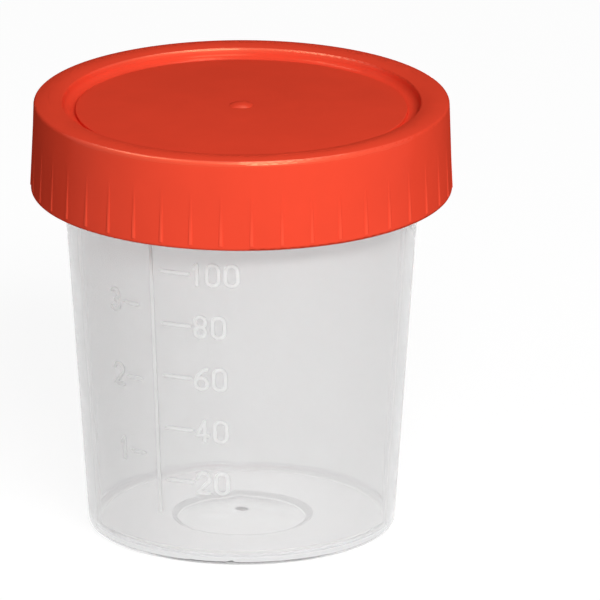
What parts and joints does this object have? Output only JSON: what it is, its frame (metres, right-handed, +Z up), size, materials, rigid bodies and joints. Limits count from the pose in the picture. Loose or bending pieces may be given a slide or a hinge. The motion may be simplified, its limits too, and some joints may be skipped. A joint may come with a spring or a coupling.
{
  "type": "specimen container",
  "caption": "Tapered see-through specimen cup with a raised volume scale, closed by a ribbed screw cap with a recessed top and an inner seal ring.",
  "frame": {"origin": "middle of the flat foot, on the surface that the cup stands on", "axes": "+Z up along the cup's axis, -Y towards the side that carries the raised scale, +X to the right of someone who reads the scale"},
  "size_m": [0.0684, 0.0684, 0.0715],
  "materials": {
    "cup_plastic": "see-through, slightly milky, smooth moulded",
    "cap_plastic": "satin moulded",
    "seal_rubber": "soft, matt"
  },
  "bodies": {
    "cup_body": {"cup": "cup_plastic"},
    "seal_body": {"seal_ring": "seal_rubber"},
    "cap_body": {"cap": "cap_plastic"}
  },
  "joints": [
    {"name": "cap_lift", "type": "slide", "parent": "cup_body", "child": "seal_body", "axis": [0, 0, 1], "range_m": [0, 0.032]},
    {"name": "cap_turn", "type": "hinge", "parent": "seal_body", "child": "cap_body", "pos_m": [0, 0, 0.0563], "axis": [0, 0, 1], "range_deg": [0, 1440]}
  ],
  "couplings": [
    {"joint": "cap_lift", "follows": "cap_turn", "m_per_rad": 0.0012732}
  ]
}
